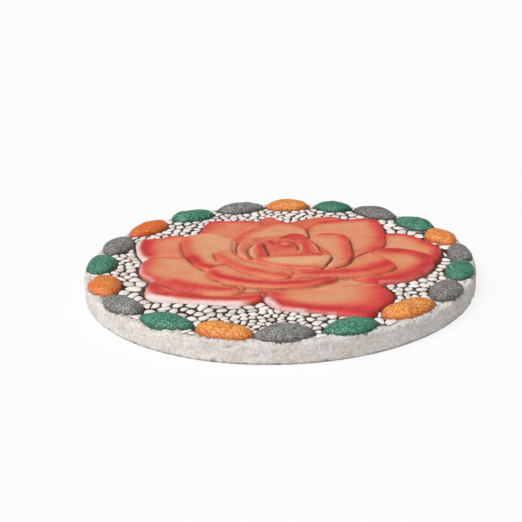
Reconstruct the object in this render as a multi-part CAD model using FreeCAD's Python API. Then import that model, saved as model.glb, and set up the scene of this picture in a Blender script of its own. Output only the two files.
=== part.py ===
"""Round garden stepping stone, cast in one piece: a slab with a ring of cobbles and a rose in relief.

Millimetres, +Z up. The origin is at the middle of the flat underside, and the slab rests on z = 0.
Azimuths run anticlockwise from +X, seen from above.
"""

import FreeCAD
import Part
import math
import os

# Overall size, and the bevels at the foot and the shoulder of the slab's wall.
DIAMETER = 254.0
THICKNESS = 19.05
FOOT_BEVEL = 1.2
SHOULDER_BEVEL = 1.0

# Relief: the rose's crown above the bed, which is the stone's highest point, how much lower the cobbles'
# crowns lie, and how deep every raised form roots in the slab.
ROSE_HEIGHT = 5.85
COBBLE_DROP = 0.15
ROOT_DEPTH = 2.0

# Ring of cobbles: their gap to the wall's line, and the room that they take across.
COBBLE_EDGE_GAP = 0.5
COBBLE_BAND = 22.0

# Each cobble is an oval of four arcs. The end arcs' radius is a share of half the width. Its section steps
# in from a side with draft to the worn crown: share of the end radius, share of the height.
COBBLE_END = 0.74
COBBLE_SECTION = [(0.12, 0.62), (0.58, 1.0)]

# Azimuth and span along the ring in degrees, width across it, turn from the ring's own direction, and how
# far the cobble is set in from the others.
COBBLES = [
    (-125.2, 17.4, 20.0, 6.0, 0.5),
    (-106.5, 16.6, 19.0, -5.0, 1.5),
    (-89.1, 16.7, 21.5, 3.0, 0.0),
    (-70.1, 16.2, 20.7, 0.0, 0.0),
    (-48.7, 18.0, 20.0, -4.0, 2.8),
    (-30.5, 16.2, 20.5, 6.0, 0.0),
    (-13.4, 14.2, 18.9, 0.0, 0.0),
    (2.0, 14.4, 16.5, -4.0, 0.0),
    (18.2, 14.8, 20.3, 4.0, 0.0),
    (34.9, 15.6, 20.0, 5.0, 0.0),
    (52.9, 17.4, 19.6, -6.0, 0.0),
    (69.8, 13.4, 19.1, 0.0, 0.0),
    (86.8, 15.2, 20.4, 3.0, 0.0),
    (104.1, 17.2, 20.6, -3.0, 0.0),
    (122.7, 14.8, 20.0, -8.0, 0.0),
    (142.2, 17.2, 19.0, 0.0, 0.0),
    (161.4, 16.2, 20.7, 4.0, 0.0),
    (178.7, 14.8, 19.4, 0.0, 0.0),
    (197.8, 17.2, 22.0, -4.0, 0.0),
    (216.1, 16.2, 18.7, 4.0, 0.0),
]

# Rose: how far its longest petals run past the cobbles' inner line, and the bevel along a petal's lip.
ROSE_LAP = 3.5
LIP_BEVEL = 1.4

# Petals from the outermost up to the heart, each one lapping those before it, drawn in plan for a rose of
# this reach: the closed outline and the low point of the petal's dish. The last two values are the dish's
# height at its low point and at the lip farthest from it, as shares of the rose's height.
DRAWN_REACH = 108.0
PETALS = {
    "back_low_left": ([(-17, 70), (-14, 84), (-7, 90), (-1, 85), (7, 72), (-4, 58)], (-4, 56), 0.27, 0.44),
    "back_low_right": ([(5, 72), (16, 82), (30, 87), (41, 86), (46, 74), (26, 58)], (25, 56), 0.27, 0.44),
    "left_back": ([(-60, 45), (-65, 54), (-72, 57), (-81, 52), (-97, 46), (-97, 30), (-93, 14), (-85, 2),
                   (-58, -5), (-45, 25)], (-56, 20), 0.22, 0.55),
    "right_back": ([(66, 44), (79, 47), (89, 43), (97, 33), (107, 15), (105, 0), (98, -12), (70, -15),
                    (55, 15)], (62, 10), 0.22, 0.53),
    "front_left": ([(-79, -30), (-84, -45), (-79, -60), (-62, -64), (-40, -69), (-21, -71), (-12, -67),
                    (-8, -57), (-16, -45), (-45, -20)], (-40, -36), 0.22, 0.55),
    "front": ([(-4, -52), (-9, -68), (0, -80), (18, -85), (35, -91), (50, -96), (58, -84), (68, -68),
               (66, -55), (55, -38), (20, -25)], (26, -42), 0.22, 0.55),
    "back_left": ([(-58, 44), (-55, 62), (-49, 80), (-34, 81), (-17, 79), (-8, 64), (-20, 35), (-45, 30)],
                  (-30, 42), 0.38, 0.6),
    "right": ([(56, -44), (76, -42), (90, -32), (99, -17), (99, -3), (91, 8), (80, 15), (68, 16),
               (45, 0), (40, -25)], (54, -14), 0.38, 0.63),
    "left": ([(-68, 9), (-84, 9), (-91, -4), (-88, -22), (-77, -36), (-62, -49), (-44, -57), (-29, -59),
              (-22, -50), (-25, -20), (-45, 5)], (-48, -18), 0.38, 0.65),
    "back_right": ([(20, 54), (27, 71), (45, 75), (62, 76), (70, 72), (73, 58), (73, 40), (70, 20),
                    (61, 9), (48, -3), (25, 5), (12, 30)], (38, 28), 0.48, 0.72),
    "left_inner": ([(-34, 44), (-47, 53), (-58, 51), (-67, 43), (-66, 26), (-62, 8), (-53, -11),
                    (-44, -20), (-33, -23), (-18, -18), (-8, 10), (-15, 35)], (-28, 14), 0.55, 0.77),
    "back_inner": ([(-31, 28), (-28, 47), (-18, 61), (-5, 70), (6, 69), (17, 62), (21, 48), (19, 30),
                    (8, 10), (-20, 8)], (-2, 28), 0.62, 0.8),
    "front_roll": ([(-46, -20), (-44, -31), (-33, -41), (-18, -48), (0, -51), (16, -50), (28, -44),
                    (36, -36), (30, -12), (0, 2), (-30, -4)], (-2, -14), 0.56, 0.8),
    "front_inner_left": ([(-43, 12), (-41, 1), (-33, -11), (-25, -22), (-15, -31), (-4, -37), (5, -37),
                          (8, -22), (5, 5), (-20, 18)], (-8, 0), 0.68, 0.84),
    "front_inner_right": ([(57, 8), (65, -2), (72, -14), (73, -24), (63, -32), (47, -36), (28, -37),
                           (10, -36), (2, -26), (15, -8), (35, 8)], (36, -8), 0.72, 0.85),
    "right_inner": ([(20, 36), (28, 44), (38, 43), (46, 38), (48, 22), (48, 5), (46, -8), (41, -17),
                     (32, -20), (16, -6), (8, 18)], (24, 14), 0.75, 0.87),
    "cup": ([(-31, 24), (-30, 11), (-24, 1), (-15, -9), (-4, -17), (8, -22), (22, -23), (30, -17),
             (34, -3), (27, 18), (20, 32), (10, 43), (2, 41), (-16, 38), (-27, 33)], (3, 12), 0.84, 0.89),
    "bud_crest": ([(1, 30), (3, 38), (8, 44), (13, 44), (18, 39), (20, 30), (12, 22)], (10, 26), 0.85, 0.92),
    "bud_outer_left": ([(-22, 38), (-28, 29), (-29, 16), (-26, 3), (-18, -7), (-10, 0), (-12, 20), (-15, 32)],
                       (-14, 14), 0.86, 0.9),
    "bud_right": ([(12, 30), (20, 31), (25, 20), (27, 8), (27, -3), (10, -5), (8, 14)], (13, 10), 0.87, 0.93),
    "bud_left": ([(-16, 27), (-21, 17), (-21, 8), (-18, -4), (-6, -5), (-6, 6), (-9, 24)],
                 (-8, 10), 0.88, 0.94),
    "bud_front": ([(-10, 26), (-5, 31), (2, 31), (9, 27), (12, 16), (12, -4), (-7, -4), (-8, 8)],
                  (3, 8), 0.9, 0.95),
    "heart": ([(-3, 19), (-2, 26), (4, 30), (9, 26), (9, 19), (3, 15)], (3, 22), 1.0, 1.0),
    "cup_front": ([(-18, -4), (-8, -1), (9, 0), (26, -1), (34, -4), (30, -17), (22, -23), (8, -22), (-4, -17),
                   (-13, -10)], (6, -26), 0.84, 0.95),
}

radius = DIAMETER / 2
bed = THICKNESS - ROSE_HEIGHT
cobble_height = ROSE_HEIGHT - COBBLE_DROP
rose_scale = (radius - COBBLE_EDGE_GAP - COBBLE_BAND + ROSE_LAP) / DRAWN_REACH


def point(x, y, z=0.0):
    return FreeCAD.Vector(x, y, z)


def cast_slab():
    """The slab as one turned profile, bevelled at the foot and at the shoulder."""
    corners = [
        point(0, 0, 0),
        point(radius - FOOT_BEVEL, 0, 0),
        point(radius, 0, FOOT_BEVEL),
        point(radius, 0, bed - SHOULDER_BEVEL),
        point(radius - SHOULDER_BEVEL, 0, bed),
        point(0, 0, bed),
        point(0, 0, 0),
    ]
    return Part.Face(Part.makePolygon(corners)).revolve(point(0, 0), point(0, 0, 1), 360)


def oval(length, width, depth, height):
    """A closed oval of four tangent arcs, drawn inwards by the depth."""
    end = COBBLE_END * width / 2
    swell = width / 2 - end
    reach = length / 2 - end
    offset = (reach ** 2 - swell ** 2) / (2 * swell)
    lean = math.atan2(offset, reach)
    tip = end - depth
    join = (reach + tip * math.cos(lean), tip * math.sin(lean))
    places = [
        (join[0], -join[1]),
        (reach + tip, 0),
        join,
        (0, width / 2 - depth),
        (-join[0], join[1]),
        (-reach - tip, 0),
        (-join[0], -join[1]),
        (0, depth - width / 2),
        (join[0], -join[1]),
    ]
    corners = [point(x, y, height) for x, y in places]
    arcs = [Part.Arc(*corners[first:first + 3]).toShape() for first in (0, 2, 4, 6)]
    return Part.Wire(arcs)


def cobble(azimuth, span, width, turn, set_in):
    """A cobble laid along the edge, its oval stepped in from the root to the crown."""
    ring = radius - COBBLE_EDGE_GAP - width / 2 - set_in
    length = ring * math.radians(span)
    end = COBBLE_END * width / 2
    wires = [oval(length, width, 0, -ROOT_DEPTH)]
    wires += [oval(length, width, step * end, rise * cobble_height) for step, rise in COBBLE_SECTION]
    stone = Part.makeLoft(wires, True, True)
    stone.rotate(point(0, 0), point(0, 0, 1), 90 + turn)
    stone.translate(point(ring, 0, bed))
    stone.rotate(point(0, 0), point(0, 0, 1), azimuth)
    return stone


def closed_curve(places, height):
    """A smooth closed wire through the places, at one height."""
    curve = Part.BSplineCurve()
    curve.interpolate(Points=[point(x, y, height) for x, y in places], PeriodicFlag=True)
    return Part.Wire([curve.toShape()])


def inset(places, depth):
    """The places moved inwards by the depth, square to the outline that runs through them."""
    before = places[-1:] + places[:-1]
    after = places[1:] + places[:1]
    area = sum(a[0] * b[1] - a[1] * b[0] for a, b in zip(places, after))
    side = math.copysign(depth, area)
    moved = []
    for last, here, following in zip(before, places, after):
        run = math.dist(last, following)
        along = ((following[0] - last[0]) / run, (following[1] - last[1]) / run)
        moved.append((here[0] - side * along[1], here[1] + side * along[0]))
    return moved


def petal(drawn_outline, drawn_low, low_share, lip_share):
    """A petal: its outline raised from the slab, its lip bevelled, and its top dished about the low point."""
    outline = [(x * rose_scale, y * rose_scale) for x, y in drawn_outline]
    low = [value * rose_scale for value in drawn_low]
    lip = lip_share * ROSE_HEIGHT
    dip = low_share * ROSE_HEIGHT
    body = Part.makeLoft([
        closed_curve(outline, -ROOT_DEPTH),
        closed_curve(outline, lip - LIP_BEVEL),
        closed_curve(inset(outline, LIP_BEVEL), lip),
    ], True, True)
    if lip > dip:
        reach = max(math.dist(low, place) for place in outline)
        ball = (reach ** 2 + (lip - dip) ** 2) / (2 * (lip - dip))
        body = body.cut(Part.makeSphere(ball, point(*low, dip + ball), point(0, 1, 0)))
    body.translate(point(0, 0, bed))
    return body


def rose():
    """All the petals as one solid, built up from the outermost to the heart."""
    petals = [petal(*sizes) for sizes in PETALS.values()]
    flower = petals[0]
    for following in petals[1:]:
        flower = flower.fuse(following)
    return flower


def main():
    stone = cast_slab().multiFuse([cobble(*sizes) for sizes in COBBLES])
    stone = stone.fuse(rose())
    os.makedirs("parts", exist_ok=True)
    stone.exportStep("parts/stepping_stone.step")
    print("stepping stone:", len(stone.Solids), "solid,", round(stone.Volume / 1000), "cubic centimetres")


main()
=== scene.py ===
import bmesh
import bpy
import math
import numpy as np
from mathutils import Matrix, Vector, geometry, noise


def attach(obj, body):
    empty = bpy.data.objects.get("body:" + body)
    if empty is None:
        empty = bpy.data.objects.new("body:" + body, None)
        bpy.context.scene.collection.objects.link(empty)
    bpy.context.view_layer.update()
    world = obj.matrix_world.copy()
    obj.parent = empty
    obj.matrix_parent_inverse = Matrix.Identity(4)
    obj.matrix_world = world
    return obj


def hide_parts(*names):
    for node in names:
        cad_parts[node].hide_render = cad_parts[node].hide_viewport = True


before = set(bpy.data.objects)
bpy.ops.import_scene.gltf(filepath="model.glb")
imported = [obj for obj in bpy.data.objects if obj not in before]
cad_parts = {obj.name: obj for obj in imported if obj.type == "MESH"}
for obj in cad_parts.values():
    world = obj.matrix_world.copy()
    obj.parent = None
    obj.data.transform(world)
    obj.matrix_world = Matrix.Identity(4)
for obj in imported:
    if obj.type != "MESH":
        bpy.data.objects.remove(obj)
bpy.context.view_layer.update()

# Lengths are in millimetres until a mesh is written. Angles are in degrees, anticlockwise from +X.
MM = 0.001
WALL = 127.0  # radius of the wall
BED = 13.2  # height of the bed that carries the pebbles, the cobbles and the rose
CROWN = 19.05  # height of the highest point
ROSE_HEIGHT = CROWN - BED
COBBLE_HEIGHT = 5.7
COBBLE_EDGE_GAP = 0.5
PEBBLE_PITCH = 6.3
PEBBLE_GAP = 0.32  # what each pebble leaves free along the edge of its cell
PEBBLE_SPOKES = 14
BED_GRID = 0.5  # spacing of the points on which the pebbles are laid out
ROSE_CELL = 0.6  # spacing of the points of the rose's sheet
LIP_ROLL = 1.7  # most that a plain lip rolls down
SUNK = -0.8  # level of what lies hidden under the bed
SEAM = 0.02  # how far outside its outline a point still counts as on a petal
FAR = 12.0  # stands for any distance too long to matter
chance = np.random.default_rng(11)

# The photograph's camera: degrees, metres, and pixels of the picture.
PICTURE = 522
CAMERA_RISE = 21.5633
CAMERA_ROLL = -1.6093
CAMERA_AWAY = 0.7577
FOCAL_LENGTH = 1151.337
VIEW_CENTRE = (280.3726, 281.9403)
SENSOR = 36.0

# The studio: one broad lamp, even light from all round, and a floor with a share of its own white.
LAMP_STRENGTH = 2.65
LAMP_SPREAD = 50
LAMP_TURN = -143
LAMP_RISE = 54
EVEN_LIGHT = 0.33
FLOOR_REACH = 60.0
FLOOR_WHITE = 0.82

# Paint of each cobble, its azimuth, span along the ring, width across it, turn from the ring, and how far it is
# set in from the others.
COBBLES = [
    ("green", -125.2, 17.4, 20.0, 6.0, 0.5),
    ("orange", -106.5, 16.6, 19.0, -5.0, 1.5),
    ("grey", -89.1, 16.7, 21.5, 3.0, 0.0),
    ("green", -70.1, 16.2, 20.7, 0.0, 0.0),
    ("orange", -48.7, 18.0, 20.0, -4.0, 2.8),
    ("grey", -30.5, 16.2, 20.5, 6.0, 0.0),
    ("green", -13.4, 14.2, 18.9, 0.0, 0.0),
    ("grey", 2.0, 14.4, 16.5, -4.0, 0.0),
    ("orange", 18.2, 14.8, 20.3, 4.0, 0.0),
    ("green", 34.9, 15.6, 20.0, 5.0, 0.0),
    ("grey", 52.9, 17.4, 19.6, -6.0, 0.0),
    ("green", 69.8, 13.4, 19.1, 0.0, 0.0),
    ("orange", 86.8, 15.2, 20.4, 3.0, 0.0),
    ("grey", 104.1, 17.2, 20.6, -3.0, 0.0),
    ("green", 122.7, 14.8, 20.0, -8.0, 0.0),
    ("orange", 142.2, 17.2, 19.0, 0.0, 0.0),
    ("grey", 161.4, 16.2, 20.7, 4.0, 0.0),
    ("green", 178.7, 14.8, 19.4, 0.0, 0.0),
    ("orange", 197.8, 17.2, 22.0, -4.0, 0.0),
    ("grey", 216.1, 16.2, 18.7, 4.0, 0.0),
]

# Cobbles with richer paint than the others of their colour, by azimuth, and how much richer.
RICH_PAINT = {142.2: 0.75, 197.8: 0.35, 69.8: 0.5, 52.9: 0.35, 86.8: 0.1, 18.2: 0.2, -30.5: 0.15}

# Petals from the outermost up to the heart: outline, low point of the dish, and the height there and at the lip
# as shares of the rose's height.
PETALS = {
    "back_low_left": ([(-17, 70), (-14, 84), (-7, 90), (-1, 85), (7, 72), (-4, 58)], (-4, 56), 0.27, 0.44),
    "back_low_right": ([(5, 72), (16, 82), (30, 87), (41, 86), (46, 74), (26, 58)], (25, 56), 0.27, 0.44),
    "left_back": ([(-60, 45), (-65, 54), (-72, 57), (-81, 52), (-97, 46), (-97, 30), (-93, 14), (-85, 2),
                   (-58, -5), (-45, 25)], (-56, 20), 0.22, 0.55),
    "right_back": ([(66, 44), (79, 47), (89, 43), (97, 33), (107, 15), (105, 0), (98, -12), (70, -15),
                    (55, 15)], (62, 10), 0.22, 0.53),
    "front_left": ([(-79, -30), (-84, -45), (-79, -60), (-62, -64), (-40, -69), (-21, -71), (-12, -67),
                    (-8, -57), (-16, -45), (-45, -20)], (-40, -36), 0.22, 0.55),
    "front": ([(-11, -46), (-9, -68), (0, -80), (18, -85), (35, -91), (50, -96), (58, -84), (68, -68),
               (66, -55), (55, -38), (20, -25)], (26, -42), 0.22, 0.55),
    "back_left": ([(-58, 44), (-55, 62), (-49, 80), (-34, 81), (-17, 79), (-8, 64), (-20, 35), (-45, 30)],
                  (-30, 42), 0.38, 0.6),
    "right": ([(56, -44), (76, -42), (90, -32), (99, -17), (99, -3), (91, 8), (80, 15), (68, 16), (45, 0),
               (40, -25)], (54, -14), 0.38, 0.63),
    "left": ([(-68, 9), (-84, 9), (-91, -4), (-88, -22), (-77, -36), (-62, -49), (-44, -57), (-29, -59),
              (-22, -50), (-25, -20), (-45, 5)], (-48, -18), 0.38, 0.65),
    "back_right": ([(20, 54), (27, 71), (45, 75), (62, 76), (70, 72), (73, 58), (73, 40), (70, 20), (61, 9),
                    (48, -3), (25, 5), (12, 30)], (38, 28), 0.48, 0.72),
    "left_inner": ([(-34, 44), (-47, 53), (-58, 51), (-67, 43), (-66, 26), (-62, 8), (-53, -11), (-44, -20),
                    (-33, -23), (-18, -18), (-8, 10), (-15, 35)], (-28, 14), 0.55, 0.77),
    "back_inner": ([(-31, 28), (-28, 47), (-18, 61), (-5, 70), (6, 69), (17, 62), (21, 48), (19, 30), (8, 10),
                    (-20, 8)], (-2, 28), 0.62, 0.8),
    "front_roll": ([(-46, -20), (-44, -31), (-33, -41), (-18, -48), (0, -51), (16, -50), (28, -44), (36, -36),
                    (30, -12), (0, 2), (-30, -4)], (-2, -14), 0.56, 0.8),
    "front_inner_left": ([(-43, 12), (-41, 1), (-33, -11), (-25, -22), (-15, -31), (-4, -37), (5, -37),
                          (8, -22), (5, 5), (-20, 18)], (-8, 0), 0.68, 0.84),
    "front_inner_right": ([(57, 8), (65, -2), (72, -14), (73, -24), (63, -32), (47, -36), (28, -37), (10, -36),
                           (2, -26), (15, -8), (35, 8)], (36, -8), 0.72, 0.85),
    "right_inner": ([(20, 36), (28, 44), (38, 43), (46, 38), (48, 22), (48, 5), (46, -8), (41, -17), (32, -20),
                     (16, -6), (8, 18)], (24, 14), 0.75, 0.87),
    "cup": ([(-31, 24), (-30, 11), (-24, 1), (-15, -9), (-4, -17), (8, -22), (22, -23), (30, -17), (34, -3),
             (27, 18), (20, 32), (10, 43), (2, 41), (-16, 38), (-27, 33)], (3, 12), 0.84, 0.89),
    "bud_crest": ([(1, 30), (3, 38), (8, 44), (13, 44), (18, 39), (20, 30), (12, 22)], (10, 26), 0.85, 0.92),
    "bud_outer_left": ([(-22, 38), (-28, 29), (-29, 16), (-26, 3), (-18, -7), (-10, 0), (-12, 20), (-15, 32)],
                       (-14, 14), 0.86, 0.9),
    "bud_right": ([(12, 30), (20, 31), (25, 20), (27, 8), (27, -3), (10, -5), (8, 14)], (13, 10), 0.87, 0.93),
    "bud_left": ([(-16, 27), (-21, 17), (-21, 8), (-18, -4), (-6, -5), (-6, 6), (-9, 24)],
                 (-8, 10), 0.88, 0.94),
    "bud_front": ([(-10, 26), (-5, 31), (2, 31), (9, 27), (12, 16), (12, -4), (-7, -4), (-8, 8)],
                  (3, 8), 0.9, 0.95),
    "heart": ([(-3, 19), (-2, 26), (4, 30), (9, 26), (9, 19), (3, 15)], (3, 22), 0.99, 1.0),
    "cup_front": ([(-18, -4), (-8, -1), (9, 0), (26, -1), (34, -4), (30, -17), (22, -23), (8, -22), (-4, -17),
                   (-13, -10)], (6, -26), 0.84, 0.95),
}

# Paint of each petal: red all over it, red along its lip, how dark the brown wash and painted shade in the crease
# under its lip are, and how broad and soft its lip is.
PETAL_PAINT = {
    "back_low_left": (0.6, 0.5, 0.5, 0.0),
    "back_low_right": (0.52, 0.6, 0.4, 0.0),
    "left_back": (0.26, 0.2, 0.3, 1.0),
    "right_back": (0.12, 0.8, 0.4, 0.2),
    "front_left": (0.16, 0.6, 0.5, 1.0),
    "front": (0.13, 0.6, 0.5, 0.7),
    "back_left": (0.38, 0.5, 0.45, 0.0),
    "right": (0.28, 0.6, 0.5, 0.5),
    "left": (0.15, 0.3, 0.8, 0.4),
    "back_right": (0.14, 0.4, 0.5, 0.0),
    "left_inner": (0.0, 0.25, 0.8, 0.0),
    "back_inner": (0.1, 0.3, 0.35, 0.0),
    "front_roll": (0.2, 0.12, 0.55, 0.0),
    "front_inner_left": (0.2, 0.2, 0.3, 0.0),
    "front_inner_right": (0.36, 0.1, 0.4, 0.0),
    "right_inner": (0.1, 0.3, 0.45, 0.0),
    "cup": (0.45, 0.3, 0.3, 0.0),
    "bud_crest": (0.84, 0.5, 0.2, 0.0),
    "bud_outer_left": (0.4, 0.2, 0.3, 0.0),
    "bud_right": (0.6, 0.2, 0.25, 0.0),
    "bud_left": (0.3, 0.0, 0.3, 0.0),
    "bud_front": (0.5, 0.2, 0.2, 0.0),
    "heart": (0.6, 0.3, 0.3, 0.0),
    "cup_front": (0.0, 0.1, 0.2, 0.0),
}

# Airbrush passes of red: the petal, the width of the pass, its strength, and the line that it follows.
AIRBRUSH = [
    ("left_back", 7.2, 1.0, [(-93, 40), (-92, 30), (-89, 20)]),
    ("left_back", 4.0, 0.6, [(-95, 46), (-80, 53), (-71, 56), (-63, 50)]),
    ("left_back", 5.0, 0.5, [(-80, 52), (-88, 48), (-92, 40)]),
    ("right_back", 5.5, 0.95, [(72, 46), (86, 44), (96, 33), (105, 15), (104, 2), (97, -10)]),
    ("front_left", 6.0, 0.9, [(-79, -40), (-74, -52), (-58, -56), (-42, -61), (-26, -64), (-14, -62)]),
    ("front", 7.2, 0.9, [(-6, -60), (-4, -72), (6, -78), (20, -81), (36, -86), (48, -91)]),
    ("front", 6.0, 0.65, [(48, -90), (57, -80), (65, -66), (62, -54)]),
    ("front", 8.0, 0.5, [(36, -84), (48, -89)]),
    ("front", 12.0, 0.6, [(60, -58), (58, -74), (48, -87)]),
    ("front", 6.0, 0.35, [(-4, -58), (0, -70), (12, -77)]),
    ("back_left", 4.5, 0.55, [(-56, 48), (-53, 64), (-48, 77)]),
    ("back_left", 3.2, 0.7, [(-48, 78), (-30, 80), (-18, 77)]),
    ("right", 6.0, 0.95, [(70, 13), (84, 9), (94, -2), (95, -15), (86, -29), (72, -38), (60, -42)]),
    ("right", 5.0, 0.5, [(60, -40), (70, -36), (84, -26)]),
    ("left", 6.5, 0.6, [(-88, 2), (-90, -10), (-84, -26), (-70, -40), (-56, -49)]),
    ("left", 3.0, 0.6, [(-87, 6), (-76, 10), (-66, 8)]),
    ("left", 4.8, 0.75, [(-66, -34), (-52, -43), (-38, -49), (-30, -51)]),
    ("back_right", 5.0, 0.8, [(26, 69), (45, 73), (62, 74), (69, 71)]),
    ("back_right", 7.2, 0.7, [(70, 68), (71, 50), (69, 28), (63, 14)]),
    ("left_inner", 6.4, 0.6, [(-64, 40), (-63, 24), (-58, 6)]),
    ("left_inner", 5.2, 1.0, [(-58, 4), (-50, -9), (-40, -15), (-30, -18), (-22, -18)]),
    ("back_inner", 6.0, 0.55, [(-28, 34), (-26, 46), (-18, 57)]),
    ("back_inner", 4.4, 0.5, [(-12, 63), (0, 68), (10, 66), (17, 58)]),
    ("front_roll", 4.6, 1.0, [(-42, -25), (-36, -33), (-20, -41), (0, -45), (16, -45), (28, -40)]),
    ("front_roll", 3.2, 0.8, [(-45, -14), (-38, -10), (-30, -7)]),
    ("front_inner_left", 4.0, 0.6, [(-20, -19), (-8, -28), (2, -33)]),
    ("front_inner_left", 4.0, 0.4, [(-40, 8), (-34, -4), (-26, -15)]),
    ("front_inner_right", 5.0, 0.85, [(18, -30), (28, -30), (48, -29), (62, -25), (69, -18)]),
    ("front_inner_right", 6.0, 0.6, [(60, -22), (68, -16)]),
    ("right_inner", 4.4, 0.75, [(28, 42), (38, 42), (45, 37)]),
    ("right_inner", 5.4, 0.6, [(44, 34), (45, 20), (45, 2), (43, -8)]),
    ("cup_front", 3.2, 0.5, [(-14, -7), (-4, -15), (8, -20), (22, -21)]),
    ("cup_front", 1.8, 0.5, [(-16, -4), (8, -1), (26, -2)]),
    ("bud_crest", 3.0, 1.0, [(4, 38), (9, 42), (15, 41)]),
    ("bud_left", 3.4, 0.9, [(-12, 22), (-12, 12), (-11, 0)]),
    ("bud_right", 2.6, 0.8, [(17, 30), (18, 18), (19, 4), (25, 0)]),
    ("bud_front", 2.2, 0.7, [(-6, 29), (-6, 25)]),
    ("bud_front", 3.0, 0.4, [(-4, 10), (6, 13)]),
]

# Passes of bare white along the foot of a petal, given in the same way.
BARE = [
    ("left_back", 3.6, 1.0, [(-97, 46), (-98, 30), (-94, 14), (-88, 5)]),
    ("front_left", 4.3, 1.0, [(-81, -58), (-62, -65), (-40, -70), (-26, -72)]),
    ("front_left", 3.0, 0.4, [(-28, -72), (-20, -71)]),
    ("front_left", 3.0, 0.5, [(-84, -44), (-81, -58)]),
    ("front", 2.6, 0.6, [(-9, -66), (-1, -80), (12, -84)]),
    ("front", 2.6, 0.45, [(10, -84), (18, -86), (30, -90)]),
    ("front", 2.4, 0.2, [(30, -90), (42, -94)]),
    ("front", 6.0, 0.35, [(-8, -60), (-7, -72)]),
    ("left", 2.4, 0.5, [(-91, -2), (-89, -20), (-80, -33)]),
    ("right", 2.2, 0.35, [(62, -44), (78, -42), (90, -33), (99, -18)]),
    ("right_back", 1.8, 0.3, [(107, 14), (105, 0)]),
]

# Creases drawn on the rose in brown wash and painted shade, and last its broad faint darkenings, painted shade on the
# rims that face away from the lamp among them: half width, how dark each is, and its line.
CREASES = [
    (0.8, 0.6, [(-44, 13), (-43, 5), (-41, -2)]),
    (0.8, 0.8, [(-36, -42), (-28, -47), (-25, -53)]),
    (0.9, 0.9, [(-22, -55), (-14, -55), (-9, -56)]),
    # Painted shadow under the right end of the front left petal.
    (1.0, 0.7, [(-20, -71.5), (-12, -67.5), (-8.5, -58)]),
    (0.7, 0.4, [(40, -47), (47, -46), (51, -44)]),
    (0.9, 1.0, [(-11, 26), (-9.5, 18), (-8, 8), (-7, 0)]),
    (0.9, 0.8, [(-18, 21), (-21, 15), (-21, 7), (-19.5, 0), (-17.5, -5)]),
    (0.9, 0.8, [(-27.5, 26), (-29, 18), (-28.5, 10)]),
    (0.7, 0.5, [(-32, 34), (-32, 24), (-31, 13), (-29, 7)]),
    (1.0, 0.9, [(19, 54), (20, 47), (20.5, 40), (19.5, 34)]),
    (0.8, 0.7, [(21, 31), (24, 23), (26, 13), (27, 6)]),
    (0.9, 0.7, [(11, 20), (12.5, 15), (12.5, 10)]),
    (0.9, 0.8, [(48, 30), (48.5, 12), (48, -4)]),
    (1.3, 1.0, [(48, -4), (45, -14), (41.5, -19), (36, -22)]),
    (1.0, 0.9, [(61, 6), (54, 1), (49, -4)]),
    (1.0, 1.0, [(34, -5), (32, -13), (29.5, -19), (26.5, -24)]),
    (0.6, 0.6, [(5, -37), (8, -33), (7.5, -27)]),
    (0.7, 0.6, [(12, -37), (20, -37.5), (26, -37.5)]),
    (0.7, 0.5, [(0, 24), (-0.5, 19), (3, 16), (8, 17)]),
    (0.7, 0.5, [(7, 28), (9, 25), (7, 22)]),
    (0.7, 0.4, [(-6, 30), (-5, 25), (-4, 20)]),
    (0.9, 0.4, [(-13, 74), (-11, 67), (-7, 64)]),
    (0.7, 0.45, [(-82, 9.5), (-75, 10), (-68, 9)]),
    (0.8, 0.6, [(-67.5, 36), (-66.5, 26), (-63, 10), (-56, -5)]),
    (0.7, 0.6, [(-88, -23), (-78, -36), (-63, -49), (-46, -57)]),
    (9.0, 0.12, [(-14, 78), (-2, 78), (8, 74), (22, 78), (38, 82)]),
    # Painted shade on the right-hand rims, which are turned away from the lamp.
    (5.0, 0.11, [(72, 13), (84, 9), (94, -2), (95, -15), (86, -29), (72, -38)]),
    (4.5, 0.09, [(74, 45), (87, 43), (96, 33), (105, 15), (104, 2)]),
    (4.5, 0.08, [(45, 73), (62, 74), (70, 66), (71, 50), (69, 28)]),
    (3.0, 0.09, [(4, 38), (9, 42), (15, 41)]),
]

# Painted highlights along the folds of the bud, which also lift them a little, given in the same way.
FOLD_HIGHLIGHTS = [
    (1.2, 0.8, [(-16.5, 19), (-18.5, 11), (-17.5, 2), (-15.5, -4)]),
    (1.0, 0.7, [(-26, 24), (-27.5, 15), (-25.5, 5), (-22, -2)]),
    (0.7, 0.7, [(-31, 34), (-30.7, 22), (-29.5, 10)]),
    (0.9, 0.8, [(14, 20), (14.5, 13), (13, 5)]),
    (0.9, 0.6, [(22.5, 20), (24.5, 11), (25.5, 4)]),
    (1.3, 0.7, [(36, -6), (34, -14), (31.5, -20), (29, -24)]),
    (0.9, 0.6, [(3, 23), (4, 19.5)]),
    (1.0, 0.5, [(-3, 29), (3, 31.5), (9, 29)]),
    (4.0, 0.55, [(-2, -9), (12, -11), (24, -10)]),
]


def smooth_outline(places, per_run=14):
    """Points along a smooth closed line through the places."""
    knots = [Vector((x, y, 0)) for x, y in places]
    count = len(knots)
    line = []
    for here in range(count):
        before, start, end, after = [knots[(here + step) % count] for step in (-1, 0, 1, 2)]
        pull = (end - start).length / 3
        leave = start + (end - before).normalized() * pull
        arrive = end - (after - start).normalized() * pull
        line += geometry.interpolate_bezier(start, leave, arrive, end, per_run + 1)[:-1]
    return np.array([spot.to_2d() for spot in line])


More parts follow.
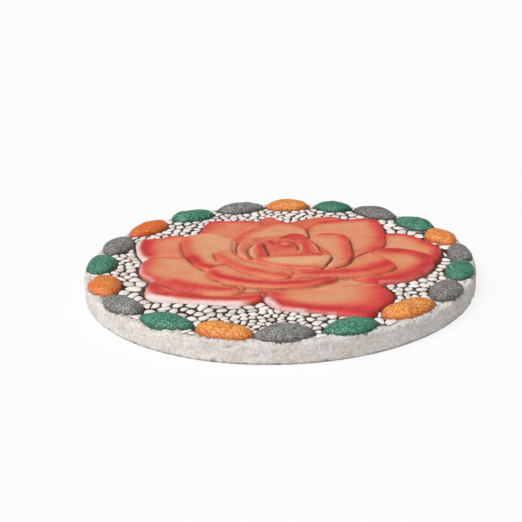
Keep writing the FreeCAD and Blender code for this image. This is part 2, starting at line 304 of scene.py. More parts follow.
def nearest_on_line(spots, starts, ends):
    """For each spot: its distance to the nearest of the runs, and the nearest place on them."""
    distance = np.full(len(spots), 1e9)
    nearest = np.zeros((len(spots), 2))
    runs = ends - starts
    lengths = np.maximum((runs ** 2).sum(1), 1e-9)
    batch = 6000
    for first in range(0, len(spots), batch):
        here = slice(first, first + batch)
        part = spots[here, None, :]
        share = np.clip(((part - starts) * runs).sum(2) / lengths, 0, 1)
        foot = starts + share[..., None] * runs
        away = ((part - foot) ** 2).sum(2)
        best = away.argmin(1)
        row = np.arange(len(best))
        distance[here] = np.sqrt(away[row, best])
        nearest[here] = foot[row, best]
    return distance, nearest


def within(spots, outline):
    """True for each spot inside the closed outline."""
    x, y = spots[:, 0], spots[:, 1]
    inside = np.zeros(len(spots), bool)
    for (x0, y0), (x1, y1) in zip(outline, np.roll(outline, -1, 0)):
        if y0 != y1:
            inside ^= ((y0 > y) != (y1 > y)) & (x < (x1 - x0) * (y - y0) / (y1 - y0) + x0)
    return inside


def outside_by(spots, outline, margin=FAR):
    """How far each spot lies outside the outline, negative inside, and the nearest place on it."""
    low, high = outline.min(0) - margin, outline.max(0) + margin
    near = ((spots > low) & (spots < high)).all(1)
    away = np.full(len(spots), margin)
    nearest = spots.copy()
    some = spots[near]
    distance, foot = nearest_on_line(some, outline, np.roll(outline, -1, 0))
    away[near] = np.where(within(some, outline), -distance, distance)
    nearest[near] = foot
    return away, nearest


def rough(spots, size, octaves=3):
    """Smooth noise about zero at each spot, with features of that size."""
    return np.array([noise.fractal(Vector(spot) / size, 0.9, 2.0, octaves) for spot in spots])


def ease(value, low, high):
    """0 below low, 1 above high, and a soft step between."""
    share = np.clip((value - low) / (high - low), 0, 1)
    return share * share * (3 - 2 * share)


def places_of(bm):
    return np.array([vert.co for vert in bm.verts])


def move_to(bm, places):
    for vert, place in zip(bm.verts, places):
        vert.co = place


def finished_piece(name, bm, material, attributes=None):
    """Makes the object from a mesh in millimetres, with its attributes, and ties it to the stone."""
    bmesh.ops.scale(bm, vec=(MM, MM, MM), verts=bm.verts)
    mesh = bpy.data.meshes.new(name)
    bm.to_mesh(mesh)
    bm.free()
    for polygon in mesh.polygons:
        polygon.use_smooth = True
    for key, values in (attributes or {}).items():
        layer = mesh.attributes.new(key, "FLOAT", "POINT")
        layer.data.foreach_set("value", np.asarray(values, np.float32))
    mesh.materials.append(material)
    piece = bpy.data.objects.new(name, mesh)
    bpy.context.scene.collection.objects.link(piece)
    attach(piece, "root")
    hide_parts("stepping_stone")
    return piece


def paint(red, green, blue):
    """A colour as the eye reads it, 0 to 255, in the shader's own linear values."""
    shades = [value / 255 for value in (red, green, blue)]
    return [value / 12.92 if value <= 0.04045 else ((value + 0.055) / 1.055) ** 2.4 for value in shades] + [1.0]


class Finish:
    """A material under way: its nodes are added one by one and joined by their sockets."""

    def __init__(self, name, roughness):
        self.material = bpy.data.materials.new(name)
        self.material.use_nodes = True
        self.tree = self.material.node_tree
        self.shader = self.tree.nodes["Principled BSDF"]
        self.shader.inputs["Roughness"].default_value = roughness
        self.place = self.add("ShaderNodeTexCoord").outputs["Object"]

    def add(self, kind, **settings):
        made = self.tree.nodes.new(kind)
        for key, value in settings.items():
            setattr(made, key, value)
        return made

    def feed(self, socket, value):
        if isinstance(value, bpy.types.NodeSocket):
            self.tree.links.new(value, socket)
        else:
            socket.default_value = value

    def attribute(self, name):
        return self.add("ShaderNodeAttribute", attribute_name=name).outputs["Fac"]

    def height(self):
        """Height above the ground in metres."""
        split = self.add("ShaderNodeSeparateXYZ")
        self.feed(split.inputs[0], self.place)
        return split.outputs["Z"]

    def grain(self, size, detail=2.0, roughness=0.5, stretch=None):
        """Noise from 0 to 1 with features of that size in millimetres."""
        place = self.place
        if stretch:
            turn = self.add("ShaderNodeMapping")
            self.feed(turn.inputs["Vector"], place)
            turn.inputs["Scale"].default_value = stretch
            place = turn.outputs[0]
        made = self.add("ShaderNodeTexNoise")
        self.feed(made.inputs["Vector"], place)
        made.inputs["Scale"].default_value = 1 / (size * MM)
        made.inputs["Detail"].default_value = detail
        made.inputs["Roughness"].default_value = roughness
        return made.outputs["Fac"]

    def math(self, operation, first, second=0.0):
        made = self.add("ShaderNodeMath", operation=operation)
        self.feed(made.inputs[0], first)
        self.feed(made.inputs[1], second)
        return made.outputs[0]

    def band(self, value, low, high, start=0.0, end=1.0):
        """A soft step from start to end as the value goes from low to high."""
        made = self.add("ShaderNodeMapRange", interpolation_type="SMOOTHSTEP")
        self.feed(made.inputs["Value"], value)
        made.inputs["From Min"].default_value = low
        made.inputs["From Max"].default_value = high
        made.inputs["To Min"].default_value = start
        made.inputs["To Max"].default_value = end
        return made.outputs[0]

    def mix(self, share, first, second, blend="MIX"):
        made = self.add("ShaderNodeMix", data_type="RGBA", blend_type=blend)
        self.feed(made.inputs["Factor"], share)
        self.feed(made.inputs["A"], first)
        self.feed(made.inputs["B"], second)
        return made.outputs["Result"]

    def ramp(self, value, stops):
        made = self.add("ShaderNodeValToRGB")
        self.feed(made.inputs["Fac"], value)
        marks = made.color_ramp.elements
        while len(marks) < len(stops):
            marks.new(0.5)
        for mark, (at, colour) in zip(marks, stops):
            mark.position = at
            mark.color = colour
        return made.outputs["Color"]

    def bump(self, height, depth, strength=1.0):
        made = self.add("ShaderNodeBump")
        self.feed(made.inputs["Height"], height)
        made.inputs["Distance"].default_value = depth * MM
        made.inputs["Strength"].default_value = strength
        self.feed(self.shader.inputs["Normal"], made.outputs["Normal"])

    def colour(self, value):
        self.feed(self.shader.inputs["Base Color"], value)
        return self.material


def concrete_finish():
    """White-grey cast concrete, sandy, browner towards the foot, with painted shade in the nooks against the cobbles
    and a dark brown wash on the bed.
    """
    make = Finish("cast_concrete", 0.9)
    broad = make.grain(13.0, 3.0, 0.6, (1.0, 1.0, 1.8))
    colour = make.ramp(broad, [(0.3, paint(213, 205, 197)), (0.5, paint(225, 219, 212)), (0.7, paint(236, 232, 227))])
    sand = make.grain(1.5, 6.0, 0.9)
    colour = make.mix(make.band(sand, 0.50, 0.62, 0.0, 0.65), colour, paint(162, 151, 141))
    colour = make.mix(make.band(sand, 0.49, 0.38, 0.0, 0.7), colour, paint(250, 248, 245))
    # Browner towards the foot of the wall.
    foot_brown = make.band(make.height(), 0.2 * MM, 2.4 * MM, 1.0, 0.0)
    foot_brown = make.math("MULTIPLY", foot_brown, make.band(make.grain(4.0, 4.0, 0.7), 0.36, 0.60, 0.15, 0.8))
    colour = make.mix(foot_brown, colour, paint(126, 100, 76))
    # Painted shade in the nooks of the rim against the cobbles.
    painted_nook_shade = make.math("MULTIPLY", make.attribute("nook"), make.band(make.grain(1.8, 3.0, 0.7), 0.50, 0.60, 0.0, 0.9))
    colour = make.mix(painted_nook_shade, colour, paint(96, 78, 66))
    wash = make.math("MULTIPLY", make.attribute("wash"), make.band(make.grain(2.4, 3.0, 0.6), 0.25, 0.55, 0.75, 1.0))
    colour = make.mix(wash, colour, paint(52, 38, 32))
    make.bump(sand, 0.5, 0.8)
    return make.colour(colour)


def pebble_finish():
    """Cream-white painted pebbles with brown left in the gaps."""
    make = Finish("cream_pebble", 0.7)
    tint = make.attribute("tint")
    colour = make.ramp(tint, [(0.0, paint(214, 199, 189)), (0.4, paint(235, 224, 216)), (1.0, paint(250, 244, 239))])
    blotch = make.band(make.grain(3.0, 3.0, 0.6), 0.52, 0.72, 0.0, 0.35)
    colour = make.mix(blotch, colour, paint(206, 186, 172))
    side = make.math("ADD", make.attribute("side"), make.band(make.grain(1.6, 2.0), 0.3, 0.7, -0.12, 0.12))
    colour = make.mix(make.band(side, 0.30, 0.74, 0.97, 0.0), colour, paint(58, 41, 33))
    make.bump(make.grain(0.8, 3.0, 0.6), 0.15, 0.5)
    return make.colour(colour)


def cobble_finish(name, deep, rich, body, light, glint):
    """Painted sandy cobble: finely speckled with painted glints, with painted shade darker down its side, and with
    the paint thin at its foot.
    """
    make = Finish(name, 0.5)
    sand = make.grain(0.9, 3.0, 0.8)
    colour = make.ramp(sand, [(0.40, deep), (0.49, body), (0.58, light)])
    patch = make.grain(7.0, 3.0, 0.6)
    colour = make.mix(make.band(patch, 0.50, 0.72, 0.0, 0.40), colour, light)
    colour = make.mix(make.band(patch, 0.48, 0.28, 0.0, 0.35), colour, deep)
    colour = make.mix(make.attribute("rich"), colour, rich)
    foot = make.math("ADD", make.attribute("foot"), make.band(make.grain(1.6, 3.0, 0.6), 0.3, 0.7, -0.10, 0.10))
    # Painted shade: the side grows darker down towards the foot.
    colour = make.mix(make.band(foot, 0.10, 0.75, 0.75, 0.0), colour, deep)
    colour = make.mix(make.band(make.grain(1.1, 1.0), 0.66, 0.74, 0.0, 0.7), colour, glint)
    colour = make.mix(make.band(foot, 0.02, 0.12, 0.85, 0.0), colour, paint(224, 213, 203))
    make.bump(sand, 0.3, 0.8)
    return make.colour(colour)


def rose_finish():
    """Airbrushed petals: tan in the heart of each petal, coral to red in the passes, brown wash and painted shade in
    and beside the creases, and painted highlights on the folds of the bud.
    """
    make = Finish("rose_paint", 0.6)
    gap = make.attribute("gap")
    drift = make.band(make.grain(15.0, 3.0, 0.55), 0.25, 0.75, -0.13, 0.13)
    streak = make.band(make.grain(2.4, 3.0, 0.6), 0.25, 0.75, -0.06, 0.06)
    red = make.math("ADD", make.math("ADD", make.attribute("red"), drift), streak)
    colour = make.ramp(red, [
        (0.0, paint(228, 163, 121)),
        (0.22, paint(229, 144, 101)),
        (0.5, paint(228, 109, 79)),
        (0.78, paint(222, 69, 60)),
        (1.0, paint(205, 38, 46)),
    ])
    # Brown airbrush and painted shade on a lower petal, just beside the lip of the petal above it.
    lee_airbrush_and_shade = make.math("MULTIPLY", make.band(gap, -0.4, 0.4), make.band(gap, 0.4, 4.5, 0.3, 0.0))
    colour = make.mix(lee_airbrush_and_shade, colour, paint(178, 98, 62))
    speck = make.band(make.grain(0.7, 2.0, 0.6), 0.35, 0.7, 0.0, 0.14)
    colour = make.mix(speck, colour, paint(150, 80, 60))
    mist = make.math("MULTIPLY", make.attribute("bare"), make.band(make.grain(0.9, 3.0, 0.7), 0.3, 0.7, 0.65, 1.25))
    colour = make.mix(make.band(mist, 0.1, 1.0, 0.0, 0.95), colour, paint(240, 226, 220))
    # Painted highlights along the folds of the bud.
    colour = make.mix(make.math("MULTIPLY", make.attribute("pale"), 0.75), colour, paint(240, 184, 144))
    patchy = make.band(make.grain(8.0, 3.0, 0.6), 0.38, 0.62, 0.2, 1.0)
    # Dark lines in the creases, in brown wash and painted shade, together with the drawn creases and the broad
    # darkenings.
    line = make.math("ABSOLUTE", make.math("SUBTRACT", gap, 0.25))
    line = make.math("MULTIPLY", make.band(line, 0.05, 0.7, 1.0, 0.0), make.attribute("crease_wash_and_shade"))
    line = make.math("MAXIMUM", make.math("MULTIPLY", line, patchy), make.attribute("drawn"))
    colour = make.mix(line, colour, paint(92, 28, 10))
    make.bump(make.grain(0.8, 3.0, 0.6), 0.16, 0.5)
    return make.colour(colour)


def cobble_outline(seed, azimuth, span, width, turn, set_in):
    """Plan of one cobble: an oval along the ring, pushed in and out by soft lumps."""
    ring = WALL - COBBLE_EDGE_GAP - width / 2 - set_in
    length = 1.04 * ring * math.radians(span)
    around = np.linspace(0, 2 * math.pi, 64, endpoint=False)
    wander = [noise.noise(Vector((math.cos(a) * 0.9, math.sin(a) * 0.9, 7.3 * seed))) for a in around]
    swell = 1 + 0.12 * np.array(wander)
    full = 1.05 + 0.15 * math.cos(2.4 * seed)
    u = length / 2 * np.sign(np.cos(around)) * np.abs(np.cos(around)) ** full * swell
    v = width / 2 * np.sign(np.sin(around)) * np.abs(np.sin(around)) ** full * swell
    angle = math.radians(azimuth)
    along = angle + math.pi / 2 + math.radians(turn)
    x = ring * math.cos(angle) + u * math.cos(along) - v * math.sin(along)
    y = ring * math.sin(angle) + u * math.sin(along) + v * math.cos(along)
    outline = np.stack([x, y], 1)
    reach = np.hypot(x, y)
    return outline * np.minimum(1, (WALL - 0.8) / reach)[:, None]


cobble_plans = [cobble_outline(seed, *sizes[1:]) for seed, sizes in enumerate(COBBLES)]
petal_plans = {name: smooth_outline(sizes[0]) for name, sizes in PETALS.items()}


def slab_profile():
    """Half section of the cast body, from the middle of the underside round to the middle of the bed."""
    underside = [(0, 0), (60, 0), (110, 0)]
    foot = [(125.6, 0), (126.5, 0.4), (126.9, 1.0)]
    wall = [(WALL - 0.05, z) for z in np.arange(2.0, 12.3, 0.75)]
    shoulder = [(126.7, 12.6), (126.1, 13.0), (125.3, BED)]
    bed = [(r, BED) for r in np.arange(124.4, 92, -1.0)] + [(80, BED), (55, BED), (0, BED)]
    return underside + foot + wall + shoulder + bed


def make_slab(material):
    """The cast body: a profile spun round, then roughened as concrete comes out of its mould."""
    bm = bmesh.new()
    corners = [bm.verts.new((r, 0, z)) for r, z in slab_profile()]
    edges = [bm.edges.new(pair) for pair in zip(corners, corners[1:])]
    bmesh.ops.spin(bm, geom=corners + edges, cent=(0, 0, 0), axis=(0, 0, 1), angle=2 * math.pi, steps=640,
                   use_merge=True)
    bmesh.ops.remove_doubles(bm, verts=bm.verts, dist=0.01)
    bmesh.ops.recalc_face_normals(bm, faces=bm.faces)
    spots = places_of(bm)
    reach = np.hypot(spots[:, 0], spots[:, 1])
    height = spots[:, 2]
    to_cobble = np.full(len(spots), FAR)
    outer = (reach > 90) & (height > 11)
    for plan in cobble_plans:
        away, _ = outside_by(spots[outer][:, :2], plan)
        to_cobble[outer] = np.minimum(to_cobble[outer], away)
    to_cobble = np.maximum(to_cobble, 0)
    lumps = rough(spots, 17.0, 2)
    pits = rough(spots, 3.2, 3)
    fine = rough(spots, 1.3, 2)
    # The wall is dented inwards, most in its pits, along the shoulder and at the foot.
    wall = (reach > 124) & (height > 0.1) & (height < BED - 0.1)
    dent = 0.3 + 0.25 * lumps + 0.2 * pits + 0.12 * fine + 0.9 * ease(pits, 0.55, 0.9)
    dent += 0.4 * ease(-height, -3.0, 0.0) * ease(lumps + pits, -0.1, 0.7)
    dent += 0.9 * ease(height, 10.0, 12.6) * ease(pits + 0.5 * fine, 0.1, 0.6)
    inward = np.clip(dent, 0.0, np.where(height > 10.5, 1.3, 1.7)) * wall
    shrink = (reach - inward) / np.maximum(reach, 1e-6)
    # The rim of the bed is ragged, and climbs against the cobbles.
    top = (height > BED - 0.7) & (reach > 92)
    rim = ease(reach, 117.0, 121.0)
    lift = 0.12 * pits + 0.06 * fine + rim * (0.3 + 0.5 * lumps + 0.45 * pits + 0.25 * fine)
    lift += 0.8 * rim * np.exp(-(to_cobble / 1.8) ** 2) * (0.7 + 0.8 * rough(spots, 8.0, 2))
    rise = np.where(top, np.clip(lift, -0.7, 1.8), 0.0)
    move_to(bm, np.stack([spots[:, 0] * shrink, spots[:, 1] * shrink, height + rise], 1))
    wash = np.where(height > BED - 0.2, 1 - ease(reach + 2.0 * pits, 119.0, 123.0), 0.0)
    # Where shade is painted: the top of the rim close to a cobble.
    nook = np.where(top, np.exp(-(to_cobble / 1.6) ** 2), 0.0)
    return finished_piece("slab", bm, material, {"wash": wash, "nook": nook})


def cobble_shape(seed, plan):
    """One cobble as a ball drawn out to its plan: flat on its crown, round at its shoulder, sunk in the bed."""
    bm = bmesh.new()
    bmesh.ops.create_uvsphere(bm, u_segments=96, v_segments=40, radius=1.0)
    ball = places_of(bm)
    around = np.arctan2(ball[:, 1], ball[:, 0])
    centre = plan.mean(0)
    spread = plan - centre
    bearing = np.arctan2(spread[:, 1], spread[:, 0])
    order = np.argsort(bearing)
    reach = np.interp(around, bearing[order], np.hypot(*spread[order].T), period=2 * math.pi)
    share = np.clip(np.hypot(ball[:, 0], ball[:, 1]), 0, 1) ** 0.8
    up = np.clip(ball[:, 2], 0, 1) ** 0.9
    out = np.stack([np.cos(around), np.sin(around)], 1)
    level = COBBLE_HEIGHT * up + 2.2 * np.minimum(ball[:, 2], 0)
    spots = np.column_stack([centre + out * (reach * share)[:, None], level])
    shift = spots + np.array([0, 0, 31.0 * seed])
    lumps = 0.7 * rough(shift, 11.0, 2) + 0.08 * rough(shift, 3.2, 2)
    spots[:, :2] += out * (0.7 * lumps * share * (1 - up))[:, None]
    spots[:, 2] += (lumps + 0.05 * rough(shift, 1.2, 2)) * ease(up, 0.0, 0.6)
    spots[:, :2] *= np.minimum(1, (WALL - 0.7) / np.hypot(*spots[:, :2].T))[:, None]
    spots[:, 2] = BED + np.minimum(spots[:, 2], ROSE_HEIGHT - 0.05)
    move_to(bm, spots)
    return bm, up


def make_cobbles(name, material, paint_name):
    """All cobbles of one paint, in one mesh."""
    joined = bmesh.new()
    foot, rich = [], []
    mesh = bpy.data.meshes.new("cobble")
    for seed, (sizes, plan) in enumerate(zip(COBBLES, cobble_plans)):
        if sizes[0] == paint_name:
            bm, up = cobble_shape(seed, plan)
            bm.to_mesh(mesh)
            bm.free()
            joined.from_mesh(mesh)
            foot.append(up)
            rich.append(np.full(len(up), RICH_PAINT.get(sizes[1], 0.0)))
    bpy.data.meshes.remove(mesh)
    return finished_piece(name, joined, material, {"foot": np.concatenate(foot), "rich": np.concatenate(rich)})


def rose_sheet():
    """A fine sheet cut to the rose, with its points drawn onto the outlines, and how far out each point lies."""
    bm = bmesh.new()
    half, middle = 110.0, (4, -4, 0)
    cells = int(2 * half / ROSE_CELL)
    bmesh.ops.create_grid(bm, x_segments=cells, y_segments=cells, size=half)
    bmesh.ops.translate(bm, vec=middle, verts=bm.verts)
    spots = places_of(bm)[:, :2]
    outer = np.full(len(spots), FAR)
    drawn = spots.copy()
    free = np.ones(len(spots), bool)
    for plan in reversed(petal_plans.values()):
        away, nearest = outside_by(spots, plan, 2.0)
        on_line = free & (np.abs(away) < 0.5 * ROSE_CELL)
        drawn[on_line] = nearest[on_line]
        free &= away > 0.5 * ROSE_CELL
        outer = np.minimum(outer, away)
    hem = 1.6 * ROSE_CELL
    stray = [vert for vert, away in zip(bm.verts, outer) if away > hem]
    bmesh.ops.delete(bm, geom=stray, context="VERTS")
    kept = outer <= hem
    return bm, drawn[kept], outer[kept]


def lip_in_view(rank):
    """The runs of a petal's outline that no higher petal covers: their starts and their ends."""
    plans = list(petal_plans.values())
    plan = plans[rank]
    shown = np.ones(len(plan), bool)
    for upper in plans[rank + 1:]:
        shown &= ~within(plan, upper)
    runs = shown & np.roll(shown, -1)
    return plan[runs], np.roll(plan, -1, 0)[runs]


def strokes(spots, width, strength, line):
    """A soft stroke along the line at each spot: its strength on the line, fading over the width."""
    line = np.array(line, float)
    away, _ = nearest_on_line(spots, line[:-1], line[1:])
    return strength * np.exp(-(away / width) ** 2)


def passes(brush, name, spots):
    """What the passes of a brush over one petal leave at each spot, from 0 to 1."""
    left = np.ones(len(spots))
    for petal, *stroke in brush:
        if petal == name:
            left *= 1 - strokes(spots, *stroke)
    return 1 - left


def airbrushed(name, spots, to_lip):
    """How red the paint is at each spot of a petal, from 0, tan, to 1."""
    blush, lip_red, _, _ = PETAL_PAINT[name]
    bare_of_red = (1 - blush) * (1 - lip_red * np.exp(-(to_lip / 3.0) ** 2))
    return 1 - bare_of_red * (1 - passes(AIRBRUSH, name, spots))


def raised_petals(spots):
    """At each spot of the rose: the height of its topmost petal above the bed, and what its paint follows."""
    count = len(spots)
    level = np.full(count, SUNK)
    to_lip = np.full(count, FAR)
    to_upper = np.full(count, FAR)
    own_crease_wash_and_shade, upper_crease_wash_and_shade, red, bare = [np.zeros(count) for _ in range(4)]
    for rank, (name, (_, low, dip_share, lip_share)) in enumerate(PETALS.items()):
        plan = petal_plans[name]
        _, _, crease_wash_and_shade, soft = PETAL_PAINT[name]
        away, _ = outside_by(spots, plan, 8.0)
        inside = away < SEAM
        here = spots[inside]
        to_lip[inside], _ = nearest_on_line(here, *lip_in_view(rank))
        along = np.hypot(*(here - low).T) / np.hypot(*(plan - low).T).max()
        dip, rim = dip_share * ROSE_HEIGHT, lip_share * ROSE_HEIGHT
        top = dip + (rim - dip) * along ** 2 + 0.25 * np.exp(-((to_lip[inside] - 4.0) / 2.4) ** 2)
        drop = np.clip(top - level[inside] + 0.3, 0.5, LIP_ROLL + 1.5 * soft)
        share = np.clip(-away[inside] / ((1.1 + 0.2 * soft) * drop), 0, 1)
        level[inside] = top - drop * (1 - np.sqrt(1 - (1 - share) ** 2))
        own_crease_wash_and_shade[inside] = crease_wash_and_shade
        to_upper[inside] = FAR
        red[inside] = airbrushed(name, here, to_lip[inside])
        bare[inside] = passes(BARE, name, here)
        beside = (away >= SEAM) & (away < to_upper)
        to_upper[beside] = away[beside]
        upper_crease_wash_and_shade[beside] = crease_wash_and_shade
        level[beside] -= 0.3 * np.exp(-(away[beside] / 0.8) ** 2)
    below = to_upper < to_lip
    gap = np.where(below, to_upper, -to_lip)
    crease_wash_and_shade = np.where(below, upper_crease_wash_and_shade, own_crease_wash_and_shade)
    return level, {"gap": gap, "crease_wash_and_shade": crease_wash_and_shade, "red": red, "bare": bare}


def make_rose(material):
    """The rose: a fine sheet raised to the topmost petal at each place, with its rim closed under the bed."""
    bm, spots, outer = rose_sheet()
    level, layers = raised_petals(spots)
    drawn = np.max([strokes(spots, *stroke) for stroke in CREASES], 0)
    pale = np.max([strokes(spots, *stroke) for stroke in FOLD_HIGHLIGHTS], 0)
    level += 0.3 * pale - 0.5 * drawn
    layers["drawn"] = drawn
    layers["pale"] = pale
    outside = outer > 0.5 * ROSE_CELL
    level[outside] = SUNK
    layers["gap"][outside] = outer[outside]
    # The rose's outer foot gets the same crease line of brown wash and painted shade.
    layers["crease_wash_and_shade"][outside] = 0.9
    level += np.where(outside, 0, 0.05 * rough(np.column_stack([spots, level]), 2.5, 2))
    move_to(bm, np.column_stack([spots, BED + np.minimum(level, ROSE_HEIGHT)]))
    rim_edges = [edge for edge in bm.edges if edge.is_boundary]
    dropped = bmesh.ops.extrude_edge_only(bm, edges=rim_edges)["geom"]
    for part in dropped:
        if isinstance(part, bmesh.types.BMVert):
            part.co.z = BED - 2.0
    bmesh.ops.triangle_fill(bm, use_beauty=False, use_dissolve=False,
                            edges=[part for part in dropped if isinstance(part, bmesh.types.BMEdge)])
    bmesh.ops.recalc_face_normals(bm, faces=bm.faces)
    extra = len(bm.verts) - len(spots)
    layers = {key: np.pad(values, (0, extra)) for key, values in layers.items()}
    return finished_piece("rose", bm, material, layers)


def free_bed(spots):
    """How far each spot lies from the rose, the cobbles and the wall, negative inside any of them."""
    clear = WALL - 4.0 - np.hypot(*spots.T)
    for plan in petal_plans.values():
        clear = np.minimum(clear, outside_by(spots, plan)[0] - 0.8)
    for plan in cobble_plans:
        clear = np.minimum(clear, outside_by(spots, plan)[0])
    return clear


def nearest_seed(spots, seeds, axes, thin):
    """For each spot the number of its pebble, by a distance that runs longer across the pebble than along it."""
    owner = np.zeros(len(spots), int)
    batch = 4000
    for first in range(0, len(spots), batch):
        part = spots[first:first + batch, None, :] - seeds
        u = (part * axes).sum(2)
        v = part[..., 1] * axes[:, 0] - part[..., 0] * axes[:, 1]
        owner[first:first + batch] = (u ** 2 * thin + v ** 2 / thin).argmin(1)
    return owner


def spread_seeds(ground):
    """Middles of the pebbles, spread evenly on the ground, with the axis of each and how thin it is."""
    count = int(len(ground) * BED_GRID ** 2 / (0.93 * PEBBLE_PITCH ** 2))
    seeds = ground[chance.choice(len(ground), count, replace=False)]
    turn = chance.uniform(0, math.pi, count)
    thin = chance.uniform(0.55, 0.95, count)
    coarse = ground[chance.permutation(len(ground))[:16000]]
    axes = np.stack([np.cos(turn), np.sin(turn)], 1)
    for _ in range(14):
        owner = nearest_seed(coarse, seeds, axes, thin)
        share = np.maximum(np.bincount(owner, minlength=count), 1)[:, None]
        total = np.stack([np.bincount(owner, coarse[:, axis], count) for axis in (0, 1)], 1)
        seeds = np.where(share > 2, total / share, seeds)
    return seeds, axes, thin


def pebble_outlines():
    """Middle of each pebble, and how far it reaches along each of its spokes before the gap."""
    line = np.arange(-WALL, WALL, BED_GRID)
    ground = np.stack(np.meshgrid(line, line), 2).reshape(-1, 2)
    ground = ground[free_bed(ground) > 0.35]
    seeds, axes, thin = spread_seeds(ground)
    count = len(seeds)
    cells = np.full((len(line), len(line)), -1)
    index = np.round((ground + WALL) / BED_GRID).astype(int)
    cells[index[:, 1], index[:, 0]] = nearest_seed(ground, seeds, axes, thin)
    bearing = 2 * math.pi * np.arange(PEBBLE_SPOKES) / PEBBLE_SPOKES
    rays = np.stack([np.cos(bearing), np.sin(bearing)], 1)
    reach = np.zeros((count, PEBBLE_SPOKES))
    going = np.ones((count, PEBBLE_SPOKES), bool)
    for step in np.arange(0.25, 7.0, 0.25):
        tip = seeds[:, None, :] + rays * step
        spot = np.clip(np.round((tip + WALL) / BED_GRID).astype(int), 0, len(line) - 1)
        going &= cells[spot[..., 1], spot[..., 0]] == np.arange(count)[:, None]
        reach[going] = step
    reach = np.clip(reach - PEBBLE_GAP, 0.5, 6.0)
    return seeds, (np.roll(reach, 1, 1) + 3 * reach + np.roll(reach, -1, 1)) / 5


def make_pebbles(material):
    """Pebbles packed on the free bed, each filling its own cell but for a gap. Cells too small stay empty."""
    joined = bmesh.new()
    tint, side = [], []
    shape = bmesh.new()
    bmesh.ops.create_uvsphere(shape, u_segments=PEBBLE_SPOKES, v_segments=6, radius=1.0)
    ball = places_of(shape)
    mesh = bpy.data.meshes.new("pebble")
    around = np.arctan2(ball[:, 1], ball[:, 0])
    spoke = np.round(around / (2 * math.pi) * PEBBLE_SPOKES).astype(int) % PEBBLE_SPOKES
    out = np.clip(np.hypot(ball[:, 0], ball[:, 1]), 0, 1) ** 0.55
    smallest = 1.1
    for seed, sizes in zip(*pebble_outlines()):
        if sizes.mean() < smallest:
            continue
        wide = sizes[spoke] * out
        tall = min(1.1 + 0.14 * sizes.mean(), 1.9) * chance.uniform(0.8, 1.15)
        lean = chance.normal(0, 0.05, 2)
        up = np.where(ball[:, 2] > 0, tall * np.abs(ball[:, 2]) ** 0.85, 0.5 * ball[:, 2])
        x, y = wide * np.cos(around), wide * np.sin(around)
        z = BED - 0.1 + up + lean[0] * x + lean[1] * y
        move_to(shape, np.stack([seed[0] + x, seed[1] + y, z], 1))
        shape.to_mesh(mesh)
        joined.from_mesh(mesh)
        tint.append(np.full(len(ball), chance.beta(2.2, 1.5)))
        side.append(np.clip(up / tall, 0, 1))
    shape.free()
    bpy.data.meshes.remove(mesh)
    return finished_piece("pebbles", joined, material, {"tint": np.concatenate(tint), "side": np.concatenate(side)})


def lay_floor():
    """A pale floor that keeps the stone's shadow and shows white to the camera."""
    bm = bmesh.new()
    bmesh.ops.create_grid(bm, x_segments=1, y_segments=1, size=FLOOR_REACH)
    mesh = bpy.data.meshes.new("floor")
    bm.to_mesh(mesh)
    bm.free()
    make = Finish("pale_floor", 0.9)
    make.colour(paint(236, 236, 236))
    rays = make.add("ShaderNodeLightPath").outputs
    seen = make.math("MAXIMUM", rays["Is Camera Ray"], rays["Is Glossy Ray"])
    seen = make.math("MAXIMUM", seen, rays["Is Transmission Ray"])
    white = make.add("ShaderNodeEmission").outputs["Emission"]
    blend = make.add("ShaderNodeMixShader")
    make.feed(blend.inputs["Fac"], make.math("MULTIPLY", seen, FLOOR_WHITE))
    make.feed(blend.inputs[1], make.shader.outputs["BSDF"])
    make.feed(blend.inputs[2], white)
    make.feed(make.tree.nodes["Material Output"].inputs["Surface"], blend.outputs["Shader"])
    mesh.materials.append(make.material)
    floor = bpy.data.objects.new("floor", mesh)
    bpy.context.scene.collection.objects.link(floor)


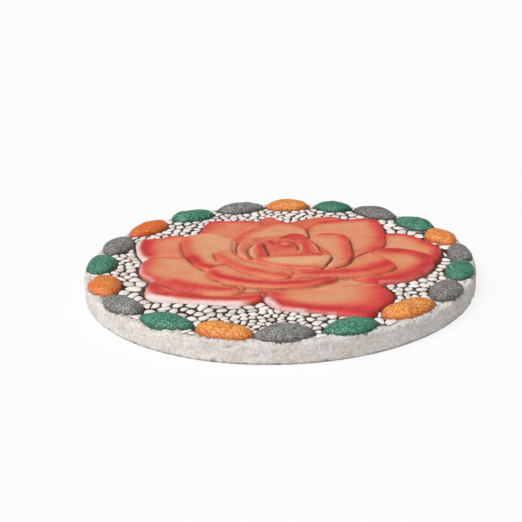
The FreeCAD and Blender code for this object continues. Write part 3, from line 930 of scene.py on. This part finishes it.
def set_studio():
    """Even light from all round, and one broad soft light from the front left."""
    lay_floor()
    lamp = bpy.data.lights.new("key", "SUN")
    lamp.energy = LAMP_STRENGTH
    lamp.angle = math.radians(LAMP_SPREAD)
    key = bpy.data.objects.new("key", lamp)
    turn, rise = math.radians(LAMP_TURN), math.radians(LAMP_RISE)
    towards = Vector((math.cos(rise) * math.cos(turn), math.cos(rise) * math.sin(turn), math.sin(rise)))
    key.rotation_euler = towards.to_track_quat("Z", "Y").to_euler()
    bpy.context.scene.collection.objects.link(key)
    world = bpy.data.worlds.new("studio")
    world.use_nodes = True
    shade = world.node_tree.nodes["Background"]
    shade.inputs["Color"].default_value = (1, 1, 1, 1)
    shade.inputs["Strength"].default_value = EVEN_LIGHT
    bpy.context.scene.world = world
    bpy.context.scene.view_settings.view_transform = "Standard"


def set_camera():
    """The photograph's view: 22 degrees above the ground, slightly rolled, from 0.76 m."""
    rise, roll = math.radians(CAMERA_RISE), math.radians(CAMERA_ROLL)
    back = Vector((0, -math.cos(rise), math.sin(rise)))
    right = Vector((1, 0, 0))
    up = back.cross(right)
    across = right * math.cos(roll) + up * math.sin(roll)
    upright = up * math.cos(roll) - right * math.sin(roll)
    camera = bpy.data.cameras.new("camera")
    camera.sensor_width = SENSOR
    camera.lens = SENSOR * FOCAL_LENGTH / PICTURE
    camera.shift_x = (PICTURE / 2 - VIEW_CENTRE[0]) / PICTURE
    camera.shift_y = (VIEW_CENTRE[1] - PICTURE / 2) / PICTURE
    holder = bpy.data.objects.new("camera", camera)
    turn = Matrix((across, upright, back)).transposed().to_4x4()
    holder.matrix_world = Matrix.Translation(back * CAMERA_AWAY) @ turn
    bpy.context.scene.collection.objects.link(holder)
    bpy.context.scene.camera = holder


orange = cobble_finish("orange_paint", paint(170, 62, 8), paint(222, 84, 14), paint(232, 128, 38),
                       paint(255, 192, 104), paint(255, 226, 172))
green = cobble_finish("green_paint", paint(4, 60, 40), paint(20, 100, 72), paint(34, 113, 86),
                      paint(100, 170, 140), paint(210, 236, 224))
grey = cobble_finish("grey_paint", paint(50, 48, 46), paint(88, 84, 80), paint(112, 109, 106),
                     paint(176, 174, 171), paint(224, 222, 219))
make_slab(concrete_finish())
make_pebbles(pebble_finish())
make_cobbles("cobbles_orange", orange, "orange")
make_cobbles("cobbles_green", green, "green")
make_cobbles("cobbles_grey", grey, "grey")
make_rose(rose_finish())
set_studio()
set_camera()
